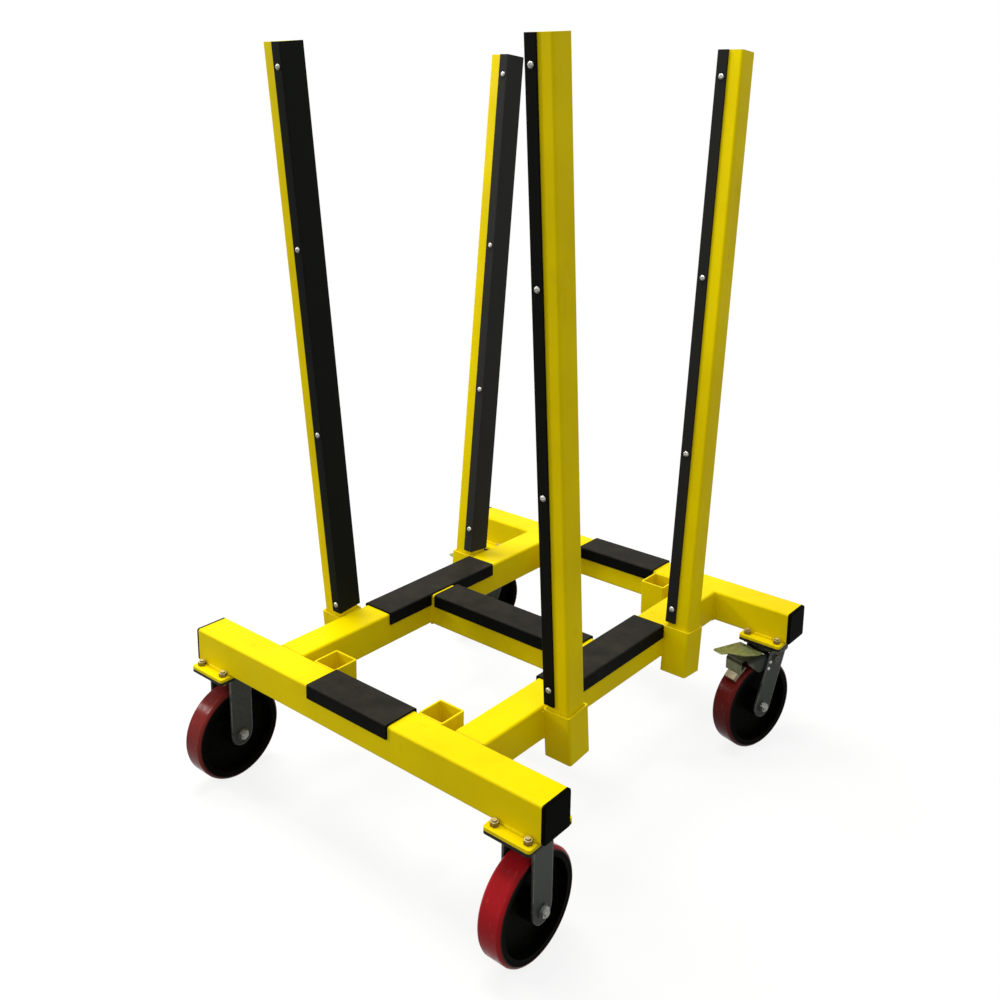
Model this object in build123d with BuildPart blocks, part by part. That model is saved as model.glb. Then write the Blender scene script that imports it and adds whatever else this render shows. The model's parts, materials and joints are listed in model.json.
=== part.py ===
from build123d import *
import os
from math import cos, radians, sin, tan

# A slab flip cart: a welded frame of square tube on two rigid and two swivel casters,
# with four loose posts that stand in leaning sockets. Millimetres, +Z up, +X along the
# end beams, +Y from the front beam to the rear beam. The origin is on the floor, under
# the middle of the frame.

os.makedirs("parts", exist_ok=True)

# Frame tube
beam_size = 70.0
beam_wall = 4.0
beam_corner = 5.0
beam_bore_corner = 1.5
beam_length = 900.0
frame_depth = 936.0
rail_spacing = 474.0

# Plugs in the open ends of the end beams
plug_lip = 7.0
plug_edge = 2.0
plug_spigot = 20.0
plug_wall = 4.0
plug_clearance = 0.3

# Black caps on the tubes
cap_thickness = 4.0
cap_drop = 24.0
cap_corner = 4.0
beam_cap_length = 212.0
rail_cap_length = 336.0
rail_cap_shift = 5.0
centre_cap_gap = 10.0
cap_notch_gap = 2.0

# Posts and their pads
post_size = 50.0
post_wall = 3.0
post_corner = 5.0
post_bore_corner = 2.5
post_lid = 3.0
post_length = 1280.0
post_spacing = 416.0
post_lean = 5.18
pad_thickness = 4.0
pad_wrap = 20.0
pad_corner = 3.0
pad_rim_gap = 10.0

# Loose fit of the posts: own lean of each in degrees along X and Y, as they stand
post_own_lean = {
    "front_left": (-0.30, -0.37),
    "front_right": (0.35, 0.39),
    "rear_left": (0.18, 0.19),
    "rear_right": (-0.19, -0.12),
}

# Sockets
socket_play = 1.0
socket_wall = 4.0
socket_corner = 4.0
socket_bore_corner = 2.0
socket_floor = 4.0
socket_rim_drop = 2.0
outer_socket_length = 98.0
inner_socket_length = 80.0
inner_socket_spacing = 284.0
post_foot_gap = 0.5

# Casters: wheel, axle and plates
wheel_radius = 100.0
tread_width = 50.0
tread_thickness = 7.0
tread_corner = 5.0
tread_corner_cut = 1.5
rim_width = 48.0
rim_thickness = 10.0
web_thickness = 10.0
boss_radius = 25.0
hub_length = 57.0
hub_clearance = 0.7
bush_radius = 10.0
bush_clearance = 0.3
axle_diameter = 12.0
axle_clearance = 0.15
axle_flats = 18.0
axle_head_height = 7.0
axle_nut_height = 8.0
axle_end = 3.0
caster_plate = 6.0
mount_plate = 6.0
plate_corner = 6.0
plate_bolt_pitch = 70.0
plate_bolt_edge = 14.0
plate_inset = 5.0
plate_side_edge = 15.0
bolt_diameter = 9.5
bolt_clearance = 0.4
bolt_flats = 14.0
bolt_beam_gap = 1.0
bolt_head_height = 6.0
bolt_nut_height = 8.0
bolt_end = 3.0

# Casters: forks
leg_thickness = 5.0
rigid_leg_width = 51.0
rigid_leg_end = 24.0
rigid_leg_shoulder = 4.0
rigid_crown = 5.0
swivel_leg_width = 46.0
swivel_leg_back = 11.0
swivel_leg_end = 24.0
swivel_leg_shoulder = 6.0
trail = 53.0
swivel_turn = 14.0

# Swivel head: king pin and bearing ring
crown_clearance = 19.0
crown_thickness = 6.0
crown_radius = 40.0
race_inner = 22.0
race_outer = 36.0
race_lower = 4.0
race_gap = 4.5
race_upper = 4.5
ring_inset = 2.0
ring_clearance = 0.3
king_diameter = 16.0
king_clearance = 0.3
king_seat_clearance = 0.05
king_flats = 24.0
king_nut_height = 9.0
king_gap = 0.3

# Foot brake
pivot_back = 18.0
pivot_above_tread = 5.0
pivot_diameter = 8.0
pivot_clearance = 0.2
pivot_flats = 13.0
pivot_head_height = 5.0
pivot_eye = 7.0
cheek_thickness = 3.0
cheek_clearance = 0.5
cheek_drop = 17.0
cheek_drop_back = 62.0
cheek_round = 14.0
arm_start = 50.0
arm_shoulder = 104.0
hook_back = 118.0
hook_width = 42.0
hook_bend = 8.0
hook_low_angle = 49.0
hook_foot_angle = 55.0
pedal_thickness = 3.0
pedal_rise = 1.5
pedal_start = 52.0
pedal_left_start = 40.0
pedal_left_end = 52.0
pedal_ear_end = 128.0
pedal_ear_width = 25.0
pedal_notch_side = 19.0
pedal_notch_end = 111.5
pedal_front_right = 10.0
pedal_front_end = 95.0
pedal_right = 25.0
pedal_right_end = 62.0
pedal_corner = 3.0
shoe_gap = 0.3
shoe_thickness = 10.7
shoe_width = 27.0
shoe_low_angle = 46.0
shoe_high_angle = 65.0

# Sizes that follow
crown_bottom = 2 * wheel_radius + crown_clearance
crown_top = crown_bottom + crown_thickness
race_bottom = crown_top + race_lower
race_top = race_bottom + race_gap
caster_plate_bottom = race_top + race_upper
caster_height = caster_plate_bottom + caster_plate
beam_bottom = caster_height + mount_plate
beam_z = beam_bottom + beam_size / 2
frame_top = beam_bottom + beam_size

plate_side_pitch = beam_size + bolt_flats + 2 * bolt_beam_gap
plate_x = plate_bolt_pitch + 2 * plate_bolt_edge
plate_y = plate_side_pitch + 2 * plate_side_edge
beam_reach = (frame_depth - beam_size) / 2
rail_x = rail_spacing / 2
rail_length = frame_depth - 2 * beam_size
centre_length = rail_spacing - beam_size
caster_x = (beam_length - plate_x) / 2 - plate_inset

socket_bore = post_size + 2 * socket_play
socket_size = socket_bore + 2 * socket_wall
post_x = rail_x + (beam_size + socket_size) / 2
outer_socket_depth = outer_socket_length - socket_floor
pad_start = outer_socket_depth - post_foot_gap + pad_rim_gap
pad_reach = pad_thickness + pad_wrap
pad_x = post_size / 2 + pad_thickness - pad_reach / 2

leg_inner = hub_length / 2 + hub_clearance
leg_outer = leg_inner + leg_thickness
leg_middle = leg_inner + leg_thickness / 2
axle_hole = axle_diameter + 2 * axle_clearance
pivot_height = 2 * wheel_radius + pivot_above_tread
cheek_outer = leg_inner - cheek_clearance
cheek_middle = cheek_outer - cheek_thickness / 2
pedal_bottom = crown_bottom + pedal_rise
arm_bottom = pedal_bottom - cheek_thickness
shoe_outer = wheel_radius + shoe_gap + shoe_thickness
hook_low = wheel_radius + shoe_outer * sin(radians(hook_low_angle))
cheek_round_height = 2 * wheel_radius - cheek_drop + cheek_round

# Signs of X and Y for each corner of the frame
corners = {
    "front_left": (-1, -1),
    "front_right": (1, -1),
    "rear_left": (-1, 1),
    "rear_right": (1, 1),
}
caster_spots = [(side * caster_x, end * beam_reach) for side, end in corners.values()]


def save(builder, name):
    """Label a finished piece and write its STEP file."""
    builder.part.label = name
    export_step(builder.part, f"parts/{name}.step")


def tube_section(size, wall, corner, bore_corner):
    """Draw the ring of a square tube in the sketch that calls this."""
    bore = size - 2 * wall
    RectangleRounded(size, size, corner)
    RectangleRounded(bore, bore, bore_corner, mode=Mode.SUBTRACT)


def cap_section():
    """Draw a cap astride a tube in the sketch that calls this, tube centre at the origin."""
    with Locations((0, (beam_size + cap_thickness - cap_drop) / 2)):
        Rectangle(beam_size + 2 * cap_thickness, cap_thickness + cap_drop)
    fillet(vertices().group_by(Axis.Y)[-1], cap_corner)
    RectangleRounded(beam_size, beam_size, beam_corner, mode=Mode.SUBTRACT)


def along_x(x, y):
    """Plane across a tube that runs along X: sketch X is +Y, sketch Y is up."""
    return Plane(origin=(x, y, beam_z), x_dir=(0, 1, 0), z_dir=(1, 0, 0))


def along_y(x, y):
    """Plane across a tube that runs along Y: sketch X is +X, sketch Y is up."""
    return Plane(origin=(x, y, beam_z), x_dir=(1, 0, 0), z_dir=(0, -1, 0))


# End beams
for name, end in (("front_end_beam", -1), ("rear_end_beam", 1)):
    with BuildPart() as end_beam:
        with BuildSketch(along_x(0, end * beam_reach)):
            tube_section(beam_size, beam_wall, beam_corner, beam_bore_corner)
        extrude(amount=beam_length / 2, both=True)
    save(end_beam, name)

# Side rails
for name, side in (("left_side_rail", -1), ("right_side_rail", 1)):
    with BuildPart() as side_rail:
        with BuildSketch(along_y(side * rail_x, 0)):
            tube_section(beam_size, beam_wall, beam_corner, beam_bore_corner)
        extrude(amount=rail_length / 2, both=True)
    save(side_rail, name)

# Centre cross beam
with BuildPart() as centre_cross_beam:
    with BuildSketch(along_x(0, 0)):
        tube_section(beam_size, beam_wall, beam_corner, beam_bore_corner)
    extrude(amount=centre_length / 2, both=True)
save(centre_cross_beam, "centre_cross_beam")

# End plugs: a lip on the tube's end and a hollow spigot inside it
plug_size = beam_size - 2 * (beam_wall + plug_clearance)
with BuildPart() as beam_end_plugs:
    for side, end in corners.values():
        tube_end = Plane(
            origin=(side * beam_length / 2, end * beam_reach, beam_z),
            x_dir=(0, 1, 0),
            z_dir=(side, 0, 0),
        )
        with BuildSketch(tube_end):
            RectangleRounded(beam_size, beam_size, beam_corner)
        extrude(amount=plug_lip)
        with BuildSketch(tube_end):
            tube_section(plug_size, plug_wall, beam_bore_corner, beam_bore_corner)
        extrude(amount=-plug_spigot)
    lip_faces = faces().filter_by(Axis.X).group_by(Axis.X)
    chamfer(lip_faces[0].edges() + lip_faces[-1].edges(), plug_edge)
save(beam_end_plugs, "beam_end_plugs")

# Mount plates welded under the ends of the end beams
with BuildPart() as caster_mount_plates:
    with BuildSketch(Plane.XY.offset(caster_height)):
        with Locations(*caster_spots):
            RectangleRounded(plate_x, plate_y, plate_corner)
            with GridLocations(plate_bolt_pitch, plate_side_pitch, 2, 2):
                Circle(bolt_diameter / 2 + bolt_clearance, mode=Mode.SUBTRACT)
    extrude(amount=mount_plate)
save(caster_mount_plates, "caster_mount_plates")

# Caps on the end beams
for name, end in (("front_beam_cap", -1), ("rear_beam_cap", 1)):
    with BuildPart() as beam_cap:
        with BuildSketch(along_x(0, end * beam_reach)):
            cap_section()
        extrude(amount=beam_cap_length / 2, both=True)
    save(beam_cap, name)

# Caps on the side rails, notched where the centre beam meets the rail
for name, side in (("left_rail_cap", -1), ("right_rail_cap", 1)):
    with BuildPart() as rail_cap:
        with BuildSketch(along_y(side * rail_x, rail_cap_shift)):
            cap_section()
        extrude(amount=rail_cap_length / 2, both=True)
        with BuildSketch(Plane.XY.offset(frame_top)):
            with Locations((side * (rail_x - (beam_size + cap_thickness) / 2), 0)):
                Rectangle(cap_thickness, beam_size + 2 * cap_notch_gap)
        extrude(amount=-cap_drop, mode=Mode.SUBTRACT)
    save(rail_cap, name)

# Cap on the centre beam
with BuildPart() as centre_beam_cap:
    with BuildSketch(along_x(0, 0)):
        cap_section()
    extrude(amount=centre_length / 2 - cap_thickness - centre_cap_gap, both=True)
save(centre_beam_cap, "centre_beam_cap")


def post_plane(name, own_lean):
    """Plane square to a post or socket, where its axis passes the frame's top."""
    side, end = corners[name]
    lean_x = tan(radians(own_lean[0]))
    lean_y = end * tan(radians(post_lean)) + tan(radians(own_lean[1]))
    return Plane(
        origin=(side * post_x, end * post_spacing / 2, frame_top),
        x_dir=(1, 0, -lean_x),
        z_dir=(lean_x, lean_y, 1),
    )


def socket(rim, length):
    """Square socket with a floor, hanging from the plane of its rim."""
    with BuildPart() as body:
        with BuildSketch(rim):
            RectangleRounded(socket_size, socket_size, socket_corner)
        extrude(amount=-length)
        with BuildSketch(rim):
            RectangleRounded(socket_bore, socket_bore, socket_bore_corner)
        extrude(amount=socket_floor - length, mode=Mode.SUBTRACT)
    return body


# Sockets on the side rails, leaning with the posts
for name in corners:
    rim = post_plane(name, (0, 0)).offset(-socket_rim_drop)
    save(socket(rim, outer_socket_length), f"{name}_post_socket")

# Empty upright sockets on the inner faces of the end beams
for name, (side, end) in corners.items():
    socket_y = end * (beam_reach - (beam_size + socket_size) / 2)
    spot = (side * inner_socket_spacing / 2, socket_y, frame_top - socket_rim_drop)
    save(socket(Plane(origin=spot), inner_socket_length), f"{name}_inner_socket")


# Posts with a closed top, and the pads on the faces that look to the middle
for name, (side, end) in corners.items():
    foot = post_plane(name, post_own_lean[name]).offset(
        post_foot_gap - socket_rim_drop - outer_socket_depth
    )

    with BuildPart() as post_tube:
        with BuildSketch(foot):
            RectangleRounded(post_size, post_size, post_corner)
        extrude(amount=post_length)
        with BuildSketch(foot):
            post_bore = post_size - 2 * post_wall
            RectangleRounded(post_bore, post_bore, post_bore_corner)
        extrude(amount=post_length - post_lid, mode=Mode.SUBTRACT)
    save(post_tube, f"{name}_post_tube")

    with BuildPart() as post_pad:
        with BuildSketch(foot.offset(pad_start)):
            with Locations((-side * pad_x, 0)):
                Rectangle(pad_reach, post_size + 2 * pad_thickness)
            fillet(vertices().group_by(Axis.X)[-1 if side < 0 else 0], pad_corner)
            RectangleRounded(post_size, post_size, post_corner, mode=Mode.SUBTRACT)
        extrude(amount=post_length - pad_start)
    save(post_pad, f"{name}_post_pad")


def caster_plane(name):
    """Floor plane under a caster: X along its axle, Y away from where its wheel trails."""
    side, end = corners[name]
    turn = radians(swivel_turn) if end > 0 else 0.0
    return Plane(
        origin=(side * caster_x, end * beam_reach, 0),
        x_dir=(cos(turn), -sin(turn), 0),
        z_dir=(0, 0, 1),
    )


def side_plane(caster, across):
    """Upright plane along a caster's wheel: sketch X runs back, sketch Y up."""
    return Plane(
        origin=caster.from_local_coords((across, 0, 0)),
        x_dir=caster.y_dir * -1,
        z_dir=caster.x_dir * -1,
    )


def axle_plane(caster, back):
    """Upright plane through the axle: sketch X along the axle, sketch Y up from it."""
    return Plane(
        origin=caster.from_local_coords((0, -back, wheel_radius)),
        x_dir=caster.x_dir,
        z_dir=caster.y_dir * -1,
    )


def leg_outline(caster, hand, back, top_back, width, end_radius, top, shoulder):
    """A fork's leg: a strap that runs from its shoulder to a round end at the axle."""
    with BuildSketch(side_plane(caster, hand * leg_middle)) as leg:
        with Locations((back, wheel_radius)):
            Circle(end_radius)
        with Locations((top_back, (top + shoulder) / 2)):
            Rectangle(width, top - shoulder)
        make_hull()
        with Locations((back, wheel_radius)):
            Circle(axle_hole / 2, mode=Mode.SUBTRACT)
    return leg.sketch


def plate_section():
    """Draw a caster's top plate with its bolt holes in the sketch that calls this."""
    RectangleRounded(plate_x, plate_y, plate_corner)
    with GridLocations(plate_bolt_pitch, plate_side_pitch, 2, 2):
        Circle(bolt_diameter / 2 + bolt_clearance, mode=Mode.SUBTRACT)


def wheel(name, caster, back):
    """Write a wheel: a cast hub with rim, web and boss, and the tread bonded on it."""
    section = axle_plane(caster, back)
    spin = Axis(section.origin, section.x_dir)
    rim_radius = wheel_radius - tread_thickness
    bore_radius = bush_radius + bush_clearance

    with BuildPart() as hub:
        with BuildSketch(section):
            with Locations((0, rim_radius - rim_thickness / 2)):
                Rectangle(rim_width, rim_thickness)
            with Locations((0, (rim_radius + bore_radius) / 2)):
                Rectangle(web_thickness, rim_radius - bore_radius)
            with Locations((0, (boss_radius + bore_radius) / 2)):
                Rectangle(hub_length, boss_radius - bore_radius)
        revolve(axis=spin)
    save(hub, f"{name}_wheel_hub")

    with BuildPart() as tread:
        with BuildSketch(section):
            with Locations((0, wheel_radius - tread_thickness / 2)):
                Rectangle(tread_width, tread_thickness)
            chamfer(vertices().group_by(Axis.Y)[-1], tread_corner)
            shoulders = vertices().filter_by_position(Axis.Y, rim_radius, wheel_radius, (False, True))
            chamfer(shoulders, tread_corner_cut)
        revolve(axis=spin)
    save(tread, f"{name}_wheel_tread")


# Bolts through the mount plates and the casters' top plates, with nuts on top
with BuildPart() as caster_bolts:
    for x, y in caster_spots:
        with BuildSketch(Plane(origin=(x, y, caster_plate_bottom))):
            with GridLocations(plate_bolt_pitch, plate_side_pitch, 2, 2):
                RegularPolygon(bolt_flats / 2, 6, major_radius=False)
        extrude(amount=-bolt_head_height)
        with BuildSketch(Plane(origin=(x, y, caster_plate_bottom))):
            with GridLocations(plate_bolt_pitch, plate_side_pitch, 2, 2):
                Circle(bolt_diameter / 2)
        extrude(amount=beam_bottom - caster_plate_bottom + bolt_nut_height + bolt_end)
        with BuildSketch(Plane(origin=(x, y, beam_bottom))):
            with GridLocations(plate_bolt_pitch, plate_side_pitch, 2, 2):
                RegularPolygon(bolt_flats / 2, 6, major_radius=False)
        extrude(amount=bolt_nut_height)
save(caster_bolts, "caster_bolts")

# Rigid front casters
for name in ("front_left", "front_right"):
    caster = caster_plane(name)
    with BuildPart() as rigid_fork:
        with BuildSketch(caster.offset(caster_plate_bottom)):
            plate_section()
        extrude(amount=caster_plate)
        with BuildSketch(caster.offset(caster_plate_bottom)):
            Rectangle(2 * leg_outer, rigid_leg_width)
        extrude(amount=-rigid_crown)
        for hand in (-1, 1):
            shoulder = wheel_radius + rigid_leg_shoulder
            leg = leg_outline(
                caster, hand, 0, 0, rigid_leg_width, rigid_leg_end, caster_plate_bottom, shoulder
            )
            extrude(leg, amount=leg_thickness / 2, both=True)
    save(rigid_fork, f"{name}_fork")
    wheel(name, caster, 0)


def axle_middle(name):
    """Plane square to a caster's axle, at its middle."""
    middle = axle_plane(caster_plane(name), trail if corners[name][1] > 0 else 0)
    return Plane(origin=middle.origin, x_dir=middle.y_dir, z_dir=middle.x_dir)


def bush_section():
    """Draw the ring of an axle's sleeve in the sketch that calls this."""
    Circle(bush_radius)
    Circle(axle_hole / 2, mode=Mode.SUBTRACT)


# Axle bolts with nuts
for name in corners:
    along = axle_middle(name)
    with BuildPart() as axle_bolt:
        with BuildSketch(along.offset(-leg_outer)):
            Circle(axle_diameter / 2)
        extrude(amount=2 * leg_outer + axle_nut_height + axle_end)
        with BuildSketch(along.offset(-leg_outer)):
            RegularPolygon(axle_flats / 2, 6, major_radius=False)
        extrude(amount=-axle_head_height)
        with BuildSketch(along.offset(leg_outer)):
            RegularPolygon(axle_flats / 2, 6, major_radius=False)
        extrude(amount=axle_nut_height)
    save(axle_bolt, f"{name}_axle_bolt")

# Sleeves that the hubs turn on: one group on the frame, and one in each swivel fork
with BuildPart() as front_axle_bushes:
    for name in ("front_left", "front_right"):
        with BuildSketch(axle_middle(name)):
            bush_section()
        extrude(amount=leg_inner, both=True)
save(front_axle_bushes, "front_axle_bushes")
for name in ("rear_left", "rear_right"):
    with BuildPart() as axle_bush:
        with BuildSketch(axle_middle(name)):
            bush_section()
        extrude(amount=leg_inner, both=True)
    save(axle_bush, f"{name}_axle_bush")

# Bearing rings of the rear swivel heads
with BuildPart() as swivel_bearing_rings:
    for name in ("rear_left", "rear_right"):
        with BuildSketch(caster_plane(name).offset(race_top)):
            Circle(race_outer - ring_inset)
            Circle(race_inner + ring_inset, mode=Mode.SUBTRACT)
        extrude(amount=ring_clearance - race_gap)
save(swivel_bearing_rings, "swivel_bearing_rings")

# King pins with their nuts, seated in the rear casters' top plates
with BuildPart() as king_pins:
    nut_bottom = crown_bottom - king_gap - king_nut_height
    for name in ("rear_left", "rear_right"):
        with BuildSketch(Plane(origin=caster_plane(name).origin).offset(nut_bottom)):
            RegularPolygon(king_flats / 2, 6, major_radius=False)
        extrude(amount=king_nut_height)
        with BuildSketch(Plane(origin=caster_plane(name).origin).offset(nut_bottom)):
            Circle(king_diameter / 2)
        extrude(amount=caster_height - nut_bottom)
save(king_pins, "king_pins")


def wheel_sector(caster, low_angle, high_angle, inner, outer):
    """A slice of a ring round a trailing axle, angles counted up from level behind it."""
    span = high_angle - low_angle
    with BuildSketch(side_plane(caster, 0)) as sector:
        with BuildLine():
            inner_arc = CenterArc((trail, wheel_radius), inner, low_angle, span)
            outer_arc = CenterArc((trail, wheel_radius), outer, low_angle, span)
            Line(inner_arc @ 0, outer_arc @ 0)
            Line(inner_arc @ 1, outer_arc @ 1)
        make_face()
    return sector.sketch


# Rear swivel casters: the plate on the frame, then the fork with its foot brake
for name in ("rear_left", "rear_right"):
    caster = caster_plane(name)
    swivel = Plane(origin=caster.origin)

    with BuildPart() as swivel_plate:
        with BuildSketch(swivel.offset(caster_plate_bottom)):
            plate_section()
            Circle(king_diameter / 2 + king_seat_clearance, mode=Mode.SUBTRACT)
        extrude(amount=caster_plate)
        with BuildSketch(swivel.offset(race_top)):
            Circle(race_outer)
            Circle(race_inner, mode=Mode.SUBTRACT)
        extrude(amount=race_upper)
    save(swivel_plate, f"{name}_swivel_plate")

    with BuildPart() as swivel_fork:
        with BuildSketch(caster.offset(crown_bottom)):
            Circle(crown_radius)
        extrude(amount=crown_thickness)
        with BuildSketch(caster.offset(crown_top)):
            Circle(race_outer)
            Circle(race_inner, mode=Mode.SUBTRACT)
        extrude(amount=race_lower)
        for hand in (-1, 1):
            shoulder = crown_bottom - swivel_leg_shoulder
            leg = leg_outline(
                caster, hand, trail, swivel_leg_back, swivel_leg_width, swivel_leg_end, crown_top, shoulder
            )
            extrude(leg, amount=leg_thickness / 2, both=True)
        with BuildSketch(caster.offset(crown_bottom)):
            Circle(king_diameter / 2 + king_clearance)
        extrude(amount=crown_thickness, mode=Mode.SUBTRACT)
        with BuildSketch(side_plane(caster, 0)):
            with Locations((pivot_back, pivot_height)):
                Circle(pivot_diameter / 2 + pivot_clearance)
        extrude(amount=leg_outer, both=True, mode=Mode.SUBTRACT)
    save(swivel_fork, f"{name}_fork")

    wheel(name, caster, trail)

    with BuildPart() as brake_pin:
        with BuildSketch(side_plane(caster, -leg_outer)):
            with Locations((pivot_back, pivot_height)):
                Circle(pivot_diameter / 2)
        extrude(amount=-2 * leg_outer)
        for hand in (-1, 1):
            with BuildSketch(side_plane(caster, hand * leg_outer)):
                with Locations((pivot_back, pivot_height)):
                    RegularPolygon(pivot_flats / 2, 6, major_radius=False)
            extrude(amount=-hand * pivot_head_height)
    save(brake_pin, f"{name}_brake_pin")

    with BuildPart() as brake_arm:
        for hand in (-1, 1):
            with BuildSketch(side_plane(caster, hand * cheek_middle)):
                with Locations((pivot_back, pivot_height)):
                    Circle(pivot_eye)
                with Locations(((arm_start + arm_shoulder) / 2, arm_bottom)):
                    Rectangle(arm_shoulder - arm_start, 2 * cheek_thickness)
                with Locations((cheek_drop_back, cheek_round_height)):
                    Circle(cheek_round)
                make_hull()
                with Locations((pivot_back, pivot_height)):
                    Circle(pivot_diameter / 2 + pivot_clearance, mode=Mode.SUBTRACT)
            extrude(amount=cheek_thickness / 2, both=True)
        with BuildSketch(caster.offset(arm_bottom)):
            with Locations((0, -(arm_start + arm_shoulder) / 2)):
                Rectangle(2 * cheek_outer, arm_shoulder - arm_start)
        extrude(amount=cheek_thickness)
        with BuildSketch(side_plane(caster, 0)):
            with BuildLine():
                Polyline(
                    (arm_shoulder, arm_bottom),
                    (hook_back - cheek_thickness, arm_bottom),
                    (hook_back - cheek_thickness, hook_low),
                    (hook_back, hook_low),
                    (hook_back, pedal_bottom),
                    (arm_shoulder, pedal_bottom),
                    close=True,
                )
            make_face()
            fillet(vertices().sort_by_distance((hook_back, pedal_bottom))[0], hook_bend)
            inner_bend = (hook_back - cheek_thickness, arm_bottom)
            fillet(vertices().sort_by_distance(inner_bend)[0], hook_bend - cheek_thickness)
            with Locations((trail, wheel_radius)):
                Circle(shoe_outer, mode=Mode.SUBTRACT)
        extrude(amount=hook_width / 2, both=True)
        foot_outer = shoe_outer + cheek_thickness
        hook_foot = wheel_sector(caster, hook_foot_angle, shoe_high_angle, shoe_outer, foot_outer)
        extrude(hook_foot, amount=hook_width / 2, both=True)
    save(brake_arm, f"{name}_brake_arm")

    with BuildPart() as brake_pedal:
        with BuildSketch(caster.offset(pedal_bottom)):
            with BuildLine():
                Polyline(
                    (-pedal_left_start, -pedal_start),
                    (-pedal_left_end, -pedal_ear_end),
                    (pedal_ear_width - pedal_left_end, -pedal_ear_end),
                    (-pedal_notch_side, -pedal_notch_end),
                    (pedal_front_right, -pedal_front_end),
                    (pedal_right, -pedal_right_end),
                    (pedal_right, -pedal_start),
                    close=True,
                )
            make_face()
            fillet(vertices(), pedal_corner)
        extrude(amount=pedal_thickness)
    save(brake_pedal, f"{name}_brake_pedal")

    with BuildPart() as brake_shoe:
        block = wheel_sector(caster, shoe_low_angle, shoe_high_angle, wheel_radius + shoe_gap, shoe_outer)
        extrude(block, amount=shoe_width / 2, both=True)
    save(brake_shoe, f"{name}_brake_shoe")
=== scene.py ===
# %% [markdown]
# # A slab flip cart in a white studio
# The cart is a low frame of square steel tube on four casters, with four loose posts that
# lean outwards in their sockets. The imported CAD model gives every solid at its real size
# and place. This lesson dresses it: each finish is built from nodes, and the small parts
# that a workshop adds last, screws, weld beads, washers and rivets, are computed with numpy.

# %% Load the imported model
import json
import bmesh
import bpy
import numpy as np
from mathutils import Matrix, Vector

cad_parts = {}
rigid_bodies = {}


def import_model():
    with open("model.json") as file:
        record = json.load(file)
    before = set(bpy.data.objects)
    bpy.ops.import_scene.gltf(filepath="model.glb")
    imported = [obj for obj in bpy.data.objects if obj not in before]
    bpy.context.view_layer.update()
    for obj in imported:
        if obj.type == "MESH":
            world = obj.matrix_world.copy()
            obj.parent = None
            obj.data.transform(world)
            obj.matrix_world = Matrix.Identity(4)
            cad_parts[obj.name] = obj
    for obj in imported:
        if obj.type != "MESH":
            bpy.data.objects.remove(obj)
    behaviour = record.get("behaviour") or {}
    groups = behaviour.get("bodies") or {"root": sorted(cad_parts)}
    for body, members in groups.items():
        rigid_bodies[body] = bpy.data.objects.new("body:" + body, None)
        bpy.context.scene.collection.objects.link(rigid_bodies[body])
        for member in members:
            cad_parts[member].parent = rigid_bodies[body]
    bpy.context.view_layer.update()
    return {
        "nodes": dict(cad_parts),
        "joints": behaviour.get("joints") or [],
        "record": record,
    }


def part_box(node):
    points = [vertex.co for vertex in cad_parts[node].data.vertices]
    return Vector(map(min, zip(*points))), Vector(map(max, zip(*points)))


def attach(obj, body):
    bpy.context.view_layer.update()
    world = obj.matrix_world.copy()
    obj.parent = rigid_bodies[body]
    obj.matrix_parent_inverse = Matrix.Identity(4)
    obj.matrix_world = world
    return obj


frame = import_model()
nodes = frame["nodes"]

# %% [markdown]
# ## Colours and nodes
# Colours are written as sRGB hex values, the way a paint shop or a picture editor gives
# them. Blender's shaders work in linear light, so one function converts them. One more
# function adds a shader node with its settings and links. Every material uses it, so that a
# material reads as a list of its layers.
#
# Some sockets are told apart by number. Of a Map Range node, 1 and 2 are the range that it
# reads, and 3 and 4 the range that it gives. Of a Mix node for colours, 0 is the share, 6
# and 7 are the two colours, and output 2 is their mix.

# %% Colours
def linear(code):
    """Linear colour of an sRGB hex value: c / 12.92 when dark, else ((c + 0.055) / 1.055) ** 2.4."""
    srgb = np.array([int(code[i:i + 2], 16) for i in (1, 3, 5)]) / 255
    light = np.where(srgb <= 0.04045, srgb / 12.92, ((srgb + 0.055) / 1.055) ** 2.4)
    return (*light.tolist(), 1.0)


print("half grey #808080 in linear light:", round(linear("#808080")[0], 3))

# %% Nodes
def add(tree, kind, inputs=None, **settings):
    """Add a node of a kind, set its properties, and set or link its inputs by name or number."""
    made = tree.nodes.new("ShaderNode" + kind)
    for key, value in settings.items():
        setattr(made, key, value)
    for socket, value in (inputs or {}).items():
        if isinstance(value, bpy.types.NodeSocket):
            tree.links.new(value, made.inputs[socket])
        else:
            made.inputs[socket].default_value = value
    return made


# %% What every finish starts and ends with
def start_material(name):
    """A new material with a Principled shader on its output, and Object coordinates in metres."""
    material = bpy.data.materials.new(name)
    material.use_nodes = True
    tree = material.node_tree
    tree.nodes.clear()
    shader = add(tree, "BsdfPrincipled")
    add(tree, "OutputMaterial", {"Surface": shader.outputs["BSDF"]})
    place = add(tree, "TexCoord").outputs["Object"]
    return material, tree, shader, place


def per_mm(size):
    """Texture scale whose features are this many millimetres across: 1000 / size, as 1 unit is 1 m."""
    return 1000.0 / size


def list_finishes(*materials):
    """Print the name and the number of nodes of each finished material."""
    for material in materials:
        print("finish:", material.name, "with", len(material.node_tree.nodes), "nodes")
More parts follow.
